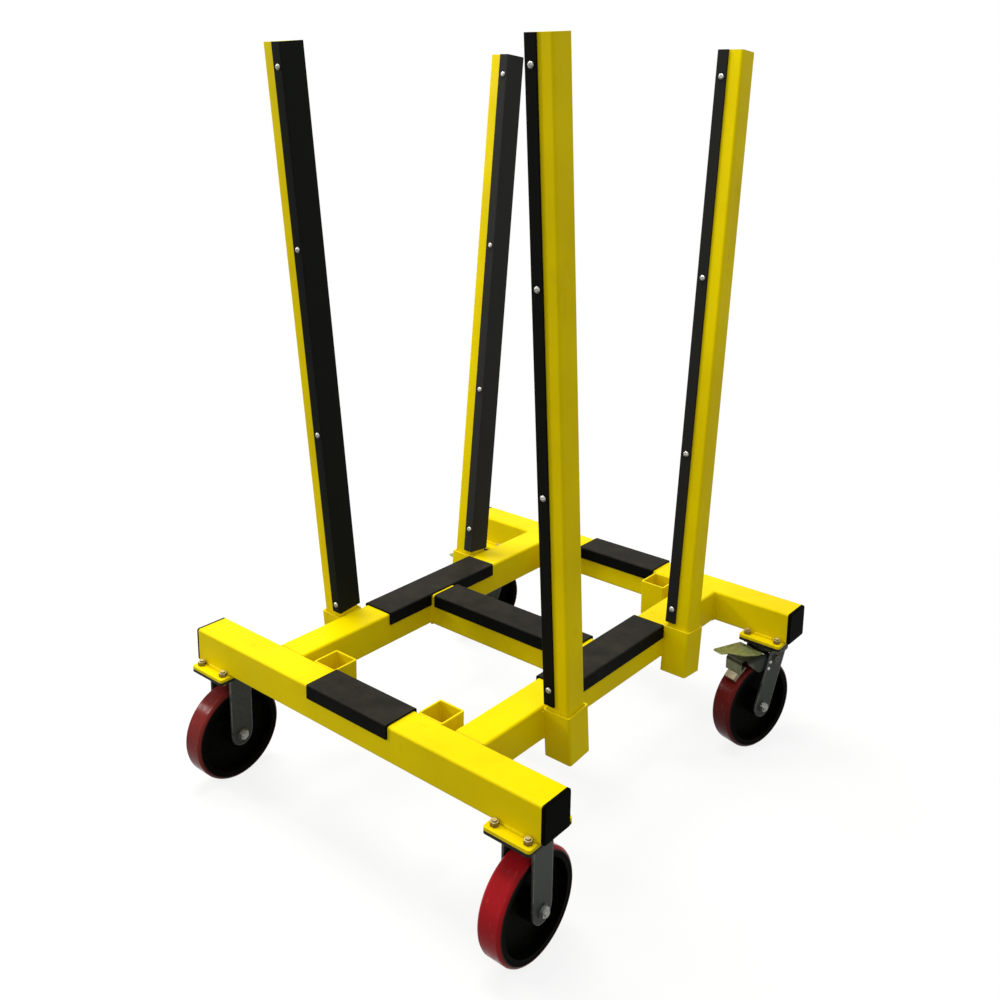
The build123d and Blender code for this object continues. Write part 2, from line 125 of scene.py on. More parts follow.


# %% [markdown]
# ## Yellow enamel
# The tubes, plates and sockets are sprayed with a yellow machine enamel over welded steel.
# It is a smooth dielectric film, so metallic is 0. Sprayed paint levels into a faint orange
# peel, and handling leaves it a little duller and browner in patches. The sharp edges are
# painted paler, as a painted highlight along them. A picture of worn paint would show
# seams where it is wrapped round a tube. Noise over Object coordinates has none and runs on
# from tube to tube. A real orange peel is about 2 mm across, too fine for this picture, so
# it is drawn at 7 mm.

# %% Paint for tubes, plates and sockets
def yellow_enamel():
    """Mix two yellows by a slow cloud, add brown rub marks by a stretched cloud, bump by orange peel.

    The painted edge highlight follows the dot product of the bevelled and the true normal: 1 on a flat, 0.7
    on an edge.
    """
    material, tree, shader, place = start_material("yellow_enamel_on_steel")
    cloud = add(tree, "TexNoise", {"Vector": place, "Scale": per_mm(160), "Detail": 3.0})
    tone = add(tree, "MapRange", {"Value": cloud.outputs["Fac"], 1: 0.35, 2: 0.65})
    paint = add(tree, "Mix", {0: tone.outputs[0], 6: linear("#E3CA00"), 7: linear("#EDD500")},
                data_type="RGBA")
    smear = add(tree, "Mapping", {"Vector": place, "Scale": (1.0, 1.0, 0.45)})
    rub = add(tree, "TexNoise", {"Vector": smear.outputs[0], "Scale": per_mm(38), "Detail": 6.0,
                                 "Roughness": 0.62})
    mark = add(tree, "MapRange", {"Value": rub.outputs["Fac"], 1: 0.60, 2: 0.78, 3: 0.0, 4: 0.25})
    stained = add(tree, "Mix", {0: mark.outputs[0], 6: paint.outputs[2], 7: linear("#B58E0C")},
                  data_type="RGBA")
    dull = add(tree, "MapRange", {"Value": rub.outputs["Fac"], 1: 0.3, 2: 0.75, 3: 0.34, 4: 0.5})
    peel = add(tree, "TexNoise", {"Vector": place, "Scale": per_mm(7), "Detail": 2.0})
    edge = add(tree, "Bevel", {"Radius": 0.0015}, samples=4)
    flat = add(tree, "VectorMath", {0: edge.outputs[0], 1: add(tree, "NewGeometry").outputs["Normal"]},
               operation="DOT_PRODUCT")
    # pale edges: a painted highlight along every edge of the paint
    rim = add(tree, "MapRange", {"Value": flat.outputs["Value"], 1: 0.75, 2: 0.98, 3: 0.4, 4: 0.0})
    colour = add(tree, "Mix", {0: rim.outputs[0], 6: stained.outputs[2], 7: linear("#F6E66A")},
                 data_type="RGBA")
    bump = add(tree, "Bump", {"Height": peel.outputs["Fac"], "Strength": 0.05, "Distance": 0.001,
                              "Normal": edge.outputs[0]})
    tree.links.new(colour.outputs[2], shader.inputs["Base Color"])
    tree.links.new(dull.outputs[0], shader.inputs["Roughness"])
    tree.links.new(bump.outputs[0], shader.inputs["Normal"])
    shader.inputs["Specular IOR Level"].default_value = 0.035
    return material


enamel = yellow_enamel()
list_finishes(enamel)

# %% [markdown]
# ## Black rubber profile
# The caps on the tubes and the pads on the posts are extruded rubber. Carbon black makes
# them almost without colour, and the die leaves fine lines along them. What faces up is a
# thin uneven grey, partly stone dust and partly a painted sheen. Each pad has its own black
# base, set to how it is lit, so the rear ones are paler: painted light and shade. Die lines
# are under half a millimetre, too fine to be modelled, so they are a bump, drawn at 3 mm: a
# noise that is stretched along the profile, for which caps along X and Y and the upright
# pads have their own variant.

# %% Rubber of the caps and pads
DIE_STRETCH = 0.012


def black_rubber(name, along, base):
    """Die lines by one noise stretched along the profile, dust and painted sheen by a cloud times the face's
    upward share.
    """
    material, tree, shader, place = start_material(name)
    stretch = tuple(DIE_STRETCH if axis == along else 1.0 for axis in "xyz")
    lines = add(tree, "Mapping", {"Vector": place, "Scale": stretch})
    die = add(tree, "TexNoise", {"Vector": lines.outputs[0], "Scale": per_mm(3), "Detail": 3.0})
    dust = add(tree, "TexNoise", {"Vector": place, "Scale": per_mm(45), "Detail": 7.0, "Roughness": 0.65})
    facing = add(tree, "SeparateXYZ", {0: add(tree, "NewGeometry").outputs["Normal"]})
    # the upward share paints a sheen on the top faces, together with the dust
    upward = add(tree, "MapRange", {"Value": facing.outputs["Z"], 1: 0.2, 2: 0.9, 3: 0.02, 4: 1.0})
    veil = add(tree, "MapRange", {"Value": dust.outputs["Fac"], 1: 0.3, 2: 0.75, 3: 0.35, 4: 1.0})
    dust_and_sheen = add(tree, "Math", {0: veil.outputs[0], 1: upward.outputs[0]}, operation="MULTIPLY")
    colour = add(tree, "Mix", {0: dust_and_sheen.outputs[0], 6: linear(base), 7: linear("#322F29")},
                 data_type="RGBA")
    dull = add(tree, "MapRange", {"Value": dust.outputs["Fac"], 1: 0.3, 2: 0.7, 3: 0.42, 4: 0.62})
    edge = add(tree, "Bevel", {"Radius": 0.0008}, samples=4)
    bump = add(tree, "Bump", {"Height": die.outputs["Fac"], "Strength": 0.12, "Distance": 0.0006,
                              "Normal": edge.outputs[0]})
    tree.links.new(colour.outputs[2], shader.inputs["Base Color"])
    tree.links.new(dull.outputs[0], shader.inputs["Roughness"])
    tree.links.new(bump.outputs[0], shader.inputs["Normal"])
    shader.inputs["Specular IOR Level"].default_value = 0.02
    return material


# %% Caps along X and Y, and one pad for each post
CAP_BLACK = "#090A07"
# each pad's black is set to how bright it looks: painted light and shade, the rear ones paler
PAD_BLACKS_WITH_PAINTED_LIGHT = {
    "front_left": "#191B17",
    "front_right": "#111210",
    "rear_left": "#2F2F2D",
    "rear_right": "#252523",
}
rubber_x = black_rubber("extruded_rubber_along_x", "x", CAP_BLACK)
rubber_y = black_rubber("extruded_rubber_along_y", "y", CAP_BLACK)
pad_rubbers = {corner: black_rubber(f"extruded_rubber_{corner}_pad", "z", black)
               for corner, black in PAD_BLACKS_WITH_PAINTED_LIGHT.items()}
list_finishes(rubber_x, rubber_y, *pad_rubbers.values())

# %% [markdown]
# ## Polyethylene plugs
# The plugs in the open tube ends are injection moulded black polyethylene. They are full of
# carbon black, and their fine spark-eroded grain of under 1 mm, drawn at 2.5 mm, breaks up
# what they mirror, so they are the darkest surface of the cart. One flat black would look
# like a hole in the picture, so the tone and the roughness drift a little.

# %% Plastic of the end plugs
def moulded_plastic():
    """Fine grain bump on near black, with tone and roughness that drift slowly."""
    material, tree, shader, place = start_material("moulded_polyethylene")
    grain = add(tree, "TexNoise", {"Vector": place, "Scale": per_mm(2.5), "Detail": 2.0})
    drift = add(tree, "TexNoise", {"Vector": place, "Scale": per_mm(30), "Detail": 4.0})
    colour = add(tree, "Mix", {0: drift.outputs["Fac"], 6: linear("#060605"), 7: linear("#0B0B09")},
                 data_type="RGBA")
    dull = add(tree, "MapRange", {"Value": drift.outputs["Fac"], 3: 0.42, 4: 0.58})
    bump = add(tree, "Bump", {"Height": grain.outputs["Fac"], "Strength": 0.1, "Distance": 0.0005})
    tree.links.new(colour.outputs[2], shader.inputs["Base Color"])
    tree.links.new(dull.outputs[0], shader.inputs["Roughness"])
    tree.links.new(bump.outputs[0], shader.inputs["Normal"])
    shader.inputs["Specular IOR Level"].default_value = 0.006
    return material


plastic = moulded_plastic()
list_finishes(plastic)

# %% [markdown]
# ## Cast polyurethane tread
# The red treads are polyurethane cast onto the wheel body. It is glossy when new, and
# rolling over grit leaves scuffs that run round the tread. Noise over plain coordinates
# would run straight through the wheel, so the pattern uses the wheel's own axes: a Mapping
# node moves the axle's middle to the origin and turns the axle to X, and then the angle
# round the axle and the place across the tread are two separate numbers. The black dip
# paint of the casting runs over the flanks, so only the rolling face and its shoulders stay
# red. Each wheel has its own pair of reds, partly browned with age and partly painted
# shade: the rear wheels, under the frame, are darker.

# %% Where the axles are
CORNERS = ("front_left", "front_right", "rear_left", "rear_right")
joints = {joint["name"]: joint for joint in frame["joints"]}
axles = {corner: np.array(joints[f"{corner}_wheel_spin"]["axis"], float) for corner in CORNERS}


def middle_and_half(node):
    """Middle of a CAD node's box and half of its size, to a micrometre."""
    low, high = np.array(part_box(node))
    return np.round((low + high) / 2, 6), np.round((high - low) / 2, 6)


wheel_centres = {corner: middle_and_half(f"{corner}_wheel_tread")[0] for corner in CORNERS}
for corner in CORNERS:
    print("axle:", corner, "at", wheel_centres[corner].round(3), "along", axles[corner].round(3))

# %% Tread of one wheel
TREAD_RADIUS = 0.1
SCUFF_STRETCH = 2.5
DIP_START, DIP_FULL = 0.0236, 0.0248


def red_tread(corner, deep, pale):
    """Scuffs by noise over (angle x radius, place across x stretch), so that they follow the rolling.

    The dip paint starts and is full at two distances from the wheel's middle plane.
    """
    material, tree, shader, place = start_material(f"cast_polyurethane_{corner}")
    turn = np.arctan2(axles[corner][1], axles[corner][0])
    own = add(tree, "Mapping", {"Vector": place, "Location": tuple(wheel_centres[corner]),
                                "Rotation": (0.0, 0.0, turn)}, vector_type="TEXTURE")
    axes = add(tree, "SeparateXYZ", {0: own.outputs[0]})
    angle = add(tree, "Math", {0: axes.outputs["Y"], 1: axes.outputs["Z"]}, operation="ARCTAN2")
    across = add(tree, "Math", {0: axes.outputs["X"], 1: SCUFF_STRETCH}, operation="MULTIPLY")
    around = add(tree, "Math", {0: angle.outputs[0], 1: TREAD_RADIUS}, operation="MULTIPLY")
    strip = add(tree, "CombineXYZ", {0: around.outputs[0], 1: across.outputs[0], 2: 0.0})
    scuff = add(tree, "TexNoise", {"Vector": strip.outputs[0], "Scale": per_mm(22), "Detail": 6.0,
                                   "Roughness": 0.6})
    cloud = add(tree, "TexNoise", {"Vector": place, "Scale": per_mm(50), "Detail": 3.0})
    red = add(tree, "Mix", {0: cloud.outputs["Fac"], 6: linear(deep), 7: linear(pale)},
              data_type="RGBA")
    mark = add(tree, "MapRange", {"Value": scuff.outputs["Fac"], 1: 0.58, 2: 0.80, 3: 0.0, 4: 0.35})
    worn = add(tree, "Mix", {0: mark.outputs[0], 6: red.outputs[2], 7: linear("#B8746C")},
               data_type="RGBA")
    aside = add(tree, "Math", {0: axes.outputs["X"]}, operation="ABSOLUTE")
    flank = add(tree, "MapRange", {"Value": aside.outputs[0], 1: DIP_START, 2: DIP_FULL})
    colour = add(tree, "Mix", {0: flank.outputs[0], 6: worn.outputs[2], 7: linear("#080604")},
                 data_type="RGBA")
    dull = add(tree, "MapRange", {"Value": scuff.outputs["Fac"], 1: 0.4, 2: 0.75, 3: 0.11, 4: 0.45})
    bump = add(tree, "Bump", {"Height": scuff.outputs["Fac"], "Strength": 0.08, "Distance": 0.0008})
    tree.links.new(colour.outputs[2], shader.inputs["Base Color"])
    tree.links.new(dull.outputs[0], shader.inputs["Roughness"])
    tree.links.new(bump.outputs[0], shader.inputs["Normal"])
    shader.inputs["Specular IOR Level"].default_value = 0.045
    return material


# %% Four treads
# each wheel's reds are set to how bright it looks: the darker rear reds are painted shade
REDS_WITH_PAINTED_SHADE = {
    "front_left": ("#6C201F", "#7E2E28"),
    "front_right": ("#8E1419", "#A81C22"),
    "rear_left": ("#591816", "#681F1D"),
    "rear_right": ("#591816", "#681F1D"),
}
treads = {corner: red_tread(corner, *REDS_WITH_PAINTED_SHADE[corner]) for corner in CORNERS}
list_finishes(*treads.values())

# %% [markdown]
# ## Painted iron castings
# The wheel bodies are sand cast iron, dipped in thin black paint. The sand leaves a grain
# of about 1 mm, drawn here at 4 mm, and the paint is worn grey on the high spots. The grain
# could be real relief, but it is far too small for the picture, so a bump does.

# %% Iron of the wheel bodies
def cast_iron():
    """Sand grain as a bump, and black paint worn grey where a slower cloud is high."""
    material, tree, shader, place = start_material("black_painted_cast_iron")
    sand = add(tree, "TexNoise", {"Vector": place, "Scale": per_mm(4), "Detail": 5.0})
    wear = add(tree, "TexNoise", {"Vector": place, "Scale": per_mm(22), "Detail": 6.0})
    worn = add(tree, "MapRange", {"Value": wear.outputs["Fac"], 1: 0.58, 2: 0.8, 3: 0.0, 4: 0.4})
    colour = add(tree, "Mix", {0: worn.outputs[0], 6: linear("#080706"), 7: linear("#201D18")},
                 data_type="RGBA")
    bump = add(tree, "Bump", {"Height": sand.outputs["Fac"], "Strength": 0.25, "Distance": 0.001})
    tree.links.new(colour.outputs[2], shader.inputs["Base Color"])
    tree.links.new(bump.outputs[0], shader.inputs["Normal"])
    shader.inputs["Roughness"].default_value = 0.5
    shader.inputs["Specular IOR Level"].default_value = 0.01
    return material


iron = cast_iron()
list_finishes(iron)

# %% [markdown]
# ## Brake shoe
# The block that presses on the tread is a pale moulded nylon, dirty where it has rubbed. It
# is small in the picture, so one noise gives both the dirt's colour and its relief.

# %% Nylon of the shoes
def shoe_nylon():
    """Pale beige with brown dirt in clouds, and a bump by the same clouds."""
    material, tree, shader, place = start_material("moulded_nylon")
    dirt = add(tree, "TexNoise", {"Vector": place, "Scale": per_mm(14), "Detail": 6.0})
    share = add(tree, "MapRange", {"Value": dirt.outputs["Fac"], 1: 0.45, 2: 0.75, 3: 0.0, 4: 0.7})
    colour = add(tree, "Mix", {0: share.outputs[0], 6: linear("#ACA085"), 7: linear("#766850")},
                 data_type="RGBA")
    bump = add(tree, "Bump", {"Height": dirt.outputs["Fac"], "Strength": 0.1, "Distance": 0.0006})
    tree.links.new(colour.outputs[2], shader.inputs["Base Color"])
    tree.links.new(bump.outputs[0], shader.inputs["Normal"])
    shader.inputs["Roughness"].default_value = 0.5
    shader.inputs["Specular IOR Level"].default_value = 0.25
    return material


nylon = shoe_nylon()
list_finishes(nylon)

# %% [markdown]
# ## Plated steel
# Forks, brakes and fasteners are all zinc plated, with different passivation. The forks are
# a dull grey, screws bright, the bolts of the casters gold, and the pedals yellow with a
# drift from olive to rose. One function makes them all: the plating's crystals give a soft
# mottle of a few millimetres, the roughness follows it, and edges are paler here and there,
# partly rubbed bare metal and partly a painted highlight, which on the forks' wide edges
# stands for the light that they catch. Dull passivation takes most of the gloss from the forks.

# %% Zinc plating
RUBBED_AND_HIGHLIT_ZINC = "#9A9B94"


def zinc_plate(name, dark, light, tint, metallic, roughness, gloss=0.5, edge_mm=1.2):
    """Mottle between two tones, drift to a tint, and a pale tone on edges where the drift is high: rubbed
    metal and painted highlight.
    """
    material, tree, shader, place = start_material(name)
    mottle = add(tree, "TexNoise", {"Vector": place, "Scale": per_mm(9), "Detail": 5.0, "Roughness": 0.6})
    drift = add(tree, "TexNoise", {"Vector": place, "Scale": per_mm(28), "Detail": 2.0})
    tone = add(tree, "MapRange", {"Value": mottle.outputs["Fac"], 1: 0.3, 2: 0.7})
    base = add(tree, "Mix", {0: tone.outputs[0], 6: linear(dark), 7: linear(light)}, data_type="RGBA")
    lean = add(tree, "MapRange", {"Value": drift.outputs["Fac"], 1: 0.48, 2: 0.75, 3: 0.0, 4: 0.5})
    drifted = add(tree, "Mix", {0: lean.outputs[0], 6: base.outputs[2], 7: linear(tint)}, data_type="RGBA")
    dull = add(tree, "MapRange", {"Value": mottle.outputs["Fac"], 1: 0.3, 2: 0.7,
                                  3: roughness - 0.07, 4: roughness + 0.1})
    edge = add(tree, "Bevel", {"Radius": edge_mm / 1000}, samples=4)
    flat = add(tree, "VectorMath", {0: edge.outputs[0], 1: add(tree, "NewGeometry").outputs["Normal"]},
               operation="DOT_PRODUCT")
    # pale edges: rubbed bare zinc together with a painted highlight along the edges
    rim = add(tree, "MapRange", {"Value": flat.outputs["Value"], 1: 0.75, 2: 0.98, 3: 0.9, 4: 0.0})
    patch = add(tree, "MapRange", {"Value": drift.outputs["Fac"], 1: 0.3, 2: 0.5})
    bare_and_highlight = add(tree, "Math", {0: rim.outputs[0], 1: patch.outputs[0]}, operation="MULTIPLY")
    colour = add(tree, "Mix", {0: bare_and_highlight.outputs[0], 6: drifted.outputs[2], 7: linear(RUBBED_AND_HIGHLIT_ZINC)},
                 data_type="RGBA")
    bump = add(tree, "Bump", {"Height": mottle.outputs["Fac"], "Strength": 0.06, "Distance": 0.0006,
                              "Normal": edge.outputs[0]})
    tree.links.new(colour.outputs[2], shader.inputs["Base Color"])
    tree.links.new(dull.outputs[0], shader.inputs["Roughness"])
    tree.links.new(bump.outputs[0], shader.inputs["Normal"])
    shader.inputs["Metallic"].default_value = metallic
    shader.inputs["Specular IOR Level"].default_value = gloss
    return material


yellow_zinc = zinc_plate("yellow_passivated_zinc", "#848E4D", "#B5BF78", "#A08A6A",
                         metallic=0.75, roughness=0.42)
list_finishes(yellow_zinc)

# %% [markdown]
# ## Darkening and painted shade
# A darker colour is laid over some plated parts. The forks darken towards the axle, and their
# top plates under the mount plates are nearly black, as black steel with painted shade on it.
# The brake arms darken away from their shoes, and under the pedal with painted shade. The
# lower faces of nuts, bolts and screws are darker than their tops, as painted shade. It could
# be painted onto each mesh by hand. Here it is a second colour laid over a finished material,
# by a share that grows with a height, a distance or the slope of the face, so that it finds
# its own place on every piece.

# %% Darkening and painted shade over a finished material
def soil_and_shade(material, colour, value, start, full, most):
    """Mix a colour over the base colour: none of it where value is start, the share most at full."""
    tree = material.node_tree
    shader = tree.nodes["Principled BSDF"]
    share = add(tree, "MapRange", {"Value": value, 1: start, 2: full, 3: 0.0, 4: most})
    clean = shader.inputs["Base Color"].links[0].from_socket
    over = add(tree, "Mix", {0: share.outputs[0], 6: clean, 7: linear(colour)}, data_type="RGBA")
    tree.links.new(over.outputs[2], shader.inputs["Base Color"])


def height_of(material):
    """Socket with the height above the floor, which is Z of the Object coordinates."""
    tree = material.node_tree
    return add(tree, "SeparateXYZ", {0: tree.nodes["Texture Coordinate"].outputs["Object"]}).outputs["Z"]


def slope_of(material):
    """Socket with the upward part of the surface's direction: 1 on top, 0 on a side."""
    tree = material.node_tree
    return add(tree, "SeparateXYZ", {0: add(tree, "NewGeometry").outputs["Normal"]}).outputs["Z"]


def distance_to(material, point):
    """Socket with the distance from a point."""
    tree = material.node_tree
    place = tree.nodes["Texture Coordinate"].outputs["Object"]
    return add(tree, "VectorMath", {0: place, 1: point}, operation="DISTANCE").outputs["Value"]


# %% Forks, darker towards the axle and on their top plates
CROWN_HEIGHT, FOOT_HEIGHT = 0.235, 0.085
PLATE_CLEAN, PLATE_BLACK_AND_SHADE = 0.2368, 0.2376
fork_zinc = zinc_plate("dull_zinc_fork_steel", "#3D403B", "#4D504B", "#48443A",
                       metallic=0.4, roughness=0.5, gloss=0.05, edge_mm=5.0)
# darker towards the axle
soil_and_shade(fork_zinc, "#14150F", height_of(fork_zinc), start=CROWN_HEIGHT, full=FOOT_HEIGHT, most=0.42)
# top plates under the mount plates nearly black: black steel and painted shade
soil_and_shade(fork_zinc, "#0B0906", height_of(fork_zinc), start=PLATE_CLEAN, full=PLATE_BLACK_AND_SHADE, most=0.85)
list_finishes(fork_zinc)

# %% Bolts and screws, with painted shade on their lower faces
axle_zinc = zinc_plate("dull_zinc_axle_bolts", "#C4C4BD", "#EEEEE8", "#CFCAB8",
                       metallic=0.8, roughness=0.36)
# painted shade: the axle nuts' lower faces darker than their tops
soil_and_shade(axle_zinc, "#34352F", slope_of(axle_zinc), start=0.45, full=-0.1, most=0.85)
bright_zinc = zinc_plate("bright_zinc_screws", "#B2B1A9", "#E2E1DA", "#C4BCA4",
                         metallic=1.0, roughness=0.34)
# painted shade: the lower half of each screw head darker than its top
soil_and_shade(bright_zinc, "#343431", slope_of(bright_zinc), start=0.5, full=-0.3, most=0.85)
gold_zinc = zinc_plate("gold_passivated_bolts", "#D8C67C", "#F0E6B4", "#C6A244",
                       metallic=0.6, roughness=0.38)
# painted shade: the sides of the caster nuts browner and darker than their tops
soil_and_shade(gold_zinc, "#5A420C", slope_of(gold_zinc), start=0.85, full=0.3, most=0.85)
list_finishes(axle_zinc, bright_zinc, gold_zinc)

# %% Brake arms, each cleanest by its own shoe
SWIVELS = ("rear_left", "rear_right")
SHOE_CLEAN, SHOE_BLACK = 0.028, 0.048
PEDAL_SHADE_START, PEDAL_SHADE_FULL = 0.2105, 0.2150


def brake_zinc(corner):
    """Olive zinc of one brake arm: clean round its shoe and darker 50 mm away, with painted shade under the
    pedal.
    """
    shoe = tuple(middle_and_half(f"{corner}_brake_shoe")[0])
    material = zinc_plate(f"olive_zinc_{corner}_brake_arm", "#5D6148", "#767A60", "#65604A",
                          metallic=0.5, roughness=0.46, gloss=0.1)
    soil_and_shade(material, "#161B1D", distance_to(material, shoe), start=SHOE_CLEAN, full=SHOE_BLACK, most=0.85)
    # painted shade under the pedal
    soil_and_shade(material, "#0B0B08", height_of(material), start=PEDAL_SHADE_START, full=PEDAL_SHADE_FULL, most=0.8)
    return material


brake_zincs = {corner: brake_zinc(corner) for corner in SWIVELS}
list_finishes(*brake_zincs.values())

# %% [markdown]
# ## Dressing the CAD nodes
# A CAD node keeps its mesh and only its material changes. The record names a material slot
# for every node, and most nodes take the finish of their slot. Those with an axis or a wear
# of their own, such as the treads, the pads and the brake arms, are listed by name.

# %% Finishes by slot and by node
slot_finishes = {
    "yellow_paint": enamel,
    "black_rubber": rubber_x,
    "black_plastic": plastic,
    "cast_hub": iron,
    "grey_steel": fork_zinc,
    "zinc_steel": fork_zinc,
    "yellow_zinc": yellow_zinc,
    "beige_shoe": nylon,
}
own_finishes = {"left_rail_cap": rubber_y, "right_rail_cap": rubber_y, "caster_bolts": gold_zinc}
for corner in CORNERS:
    own_finishes[f"{corner}_post_pad"] = pad_rubbers[corner]
    own_finishes[f"{corner}_wheel_tread"] = treads[corner]
    own_finishes[f"{corner}_axle_bolt"] = axle_zinc
for corner in SWIVELS:
    own_finishes[f"{corner}_brake_arm"] = brake_zincs[corner]

# %% Give every CAD node its finish
for part in frame["record"]["subparts"]:
    mesh = nodes[part["node"]].data
    mesh.materials.clear()
    mesh.materials.append(own_finishes.get(part["node"]) or slot_finishes[part["material_slot"]])

# %% [markdown]
# ## From numpy to a mesh
# Every added piece is a grid of points, rows by columns, worked out as whole arrays. The
# faces of a grid are always the same pattern of four neighbours, so they come from index
# arithmetic too. Grids that go round close on themselves with the last column joined to the
# first, and poles are rows whose points all fall together. A last step merges those points,
# so that every piece is a closed skin, and turns all faces outwards.

# %% Grids to objects
def grid_faces(rows, columns):
    """Quads of a grid closed round its columns: (r, c), (r, c+1), (r+1, c+1), (r+1, c)."""
    r, c = np.meshgrid(np.arange(rows - 1), np.arange(columns), indexing="ij")
    after = (c + 1) % columns
    corners = (r * columns + c, r * columns + after, (r + 1) * columns + after, (r + 1) * columns + c)
    return np.stack(corners, axis=-1).reshape(-1, 4)


def make_piece(name, grids, material, body):
    """Join grids of shape (copies, rows, columns, 3) into one smooth object that rides on a body."""
    points, quads, start = [], [], 0
    for grid in grids:
        copies, rows, columns = grid.shape[:3]
        faces = grid_faces(rows, columns)
        shift = start + np.arange(copies)[:, None, None] * rows * columns
        points.append(grid.reshape(-1, 3))
        quads.append((faces[None] + shift).reshape(-1, 4))
        start += copies * rows * columns
    mesh = bpy.data.meshes.new(name)
    mesh.from_pydata(np.concatenate(points), [], np.concatenate(quads))
    skin = bmesh.new()
    skin.from_mesh(mesh)
    bmesh.ops.remove_doubles(skin, verts=skin.verts, dist=1e-6)
    bmesh.ops.recalc_face_normals(skin, faces=skin.faces)
    skin.to_mesh(mesh)
    skin.free()
    mesh.polygons.foreach_set("use_smooth", np.ones(len(mesh.polygons), bool))
    mesh.materials.append(material)
    piece = bpy.data.objects.new(name, mesh)
    bpy.context.scene.collection.objects.link(piece)
    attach(piece, body)
    print("piece:", name, "on", body, "with", len(mesh.polygons), "faces")


# %% One grid at many places
def frames_at(spots, normals, guide):
    """Axes at each spot: third axis the normal, first axis the guide made square to it."""
    third = normals / np.linalg.norm(normals, axis=-1, keepdims=True)
    first = guide - (guide * third).sum(-1, keepdims=True) * third
    first /= np.linalg.norm(first, axis=-1, keepdims=True)
    return spots, first, np.cross(third, first), third


def stand_on(local, spots, first, second, third):
    """Place one local grid at every spot: spot + x first + y second + z third."""
    x, y, z = (local[None, ..., i, None] for i in range(3))
    spots, first, second, third = (a[:, None, None, :] for a in (spots, first, second, third))
    return spots + x * first + y * second + z * third


# %% [markdown]
# ## Screws of the post pads
# Each pad is held by pan head screws through both of its flanges. A head could be cut out of
# a cylinder with Boolean tools, which leaves slivers. Here it is a surface of revolution: a
# dome for the crown, a short wall and a flat underside. The cross recess is the same surface
# pressed in wherever a point lies in one of the two slots.

# %% Pan head with a cross recess
CROWN_FALL = 0.62
SEAT_DEPTH = 0.0004


def pan_head(radius, height, slot_width, slot_length, depth):
    """Rows go from the crown's middle to the rim, down the wall and back to the axis underneath.

    The crown's height is height x (1 - crown fall x s^3) for s the share of the radius, and points
    inside either slot sink by depth. The underside sinks by the seat depth into what carries it.
    """
    turn = np.linspace(0.0, 2 * np.pi, 40, endpoint=False)
    share = np.concatenate([[0.0], np.linspace(0.05, 1.0, 20), [1.0, 0.0]])
    level = height * (1 - CROWN_FALL * share ** 3)
    level[-2:] = -SEAT_DEPTH
    x = radius * share[:, None] * np.cos(turn)
    y = radius * share[:, None] * np.sin(turn)
    z = np.repeat(level[:, None], len(turn), axis=1)
    ax, ay = np.abs(x), np.abs(y)
    wide, far = slot_width / 2, slot_length / 2
    in_slot = ((ax < wide) & (ay < far)) | ((ay < wide) & (ax < far))
    in_slot[-2:] = False
    return np.stack([x, y, z - depth * in_slot], axis=-1)


head = pan_head(radius=0.0060, height=0.0040, slot_width=0.0016, slot_length=0.0062, depth=0.0010)
print("screw head:", head.shape[0], "rows of", head.shape[1], "points")

# %% Places on a post
SCREW_HEIGHTS = {
    "front_left": (0.1219, 0.5079, 0.8908, 1.2341),
    "front_right": (0.1367, 0.5126, 0.8788, 1.2315),
    "rear_left": (0.1589, 0.5029, 0.8449, 1.2349),
    "rear_right": (0.1334, 0.4683, 0.8315, 1.2274),
}
SCREW_ACROSS = {"left": 0.018, "right": 0.015}
FLANGE = 0.029
LAST_TWIST = 2.4
POST_Y, POST_FOOT = 0.208, -0.0955
ENDS, SIDES = {"front": -1.0, "rear": 1.0}, {"left": -1.0, "right": 1.0}
rail_middle, rail_half = middle_and_half("right_side_rail")
frame_top = rail_middle[2] + rail_half[2]
post_x = middle_and_half("rear_right_post_socket")[0][0]


def screw_frames(corner):
    """Axes of a post's screws: four heights along the post, on both flanges, each twisted further.

    Up is the way that the post slides, inward points across the cart to its middle and is square to
    up, and out is square to both. The post crosses the frame's top at its socket's place.
    """
    end, side = corner.split("_")
    up = np.array(joints[f"{corner}_post_lift"]["axis"])
    up /= np.linalg.norm(up)
    inward = np.array([-SIDES[side], 0.0, SIDES[side] * up[0] / up[2]])
    inward /= np.linalg.norm(inward)
    out = np.cross(up, inward)
    foot = np.array([SIDES[side] * post_x, ENDS[end] * POST_Y, frame_top]) + POST_FOOT * up
    hands = np.repeat([-1.0, 1.0], len(SCREW_HEIGHTS[corner]))[:, None]
    heights = np.tile(SCREW_HEIGHTS[corner], 2)[:, None]
    spots = foot + heights * up + SCREW_ACROSS[side] * inward + hands * FLANGE * out
    twist = np.linspace(0.0, LAST_TWIST, len(spots))[:, None]
    return frames_at(spots, hands * out, np.cos(twist) * up + np.sin(twist) * inward)


# %% Eight screws on each post
for corner in CORNERS:
    grid = stand_on(head, *screw_frames(corner))
    make_piece(f"{corner}_pad_screws", [grid], bright_zinc, f"{corner}_post")

# %% [markdown]
# ## Weld beads
# The frame is welded where its tubes meet. A bump in the paint would not show in the
# outline, so a bead is a real tube along the corner line. Its radius rises and falls with
# each puddle, so it reads as a row of overlapping scales, and it is sprayed over with the
# same enamel. Real scales are about 2 mm apart, drawn here at 5 mm. On top, where slabs
# rest, the welds are ground flush: those beads have no scales and fill the groove that the
# round corner of an end beam leaves at the end of a rail.

# %% Ripple beads along straight corner lines
ASKEW = np.array([0.31, 0.52, 0.79])


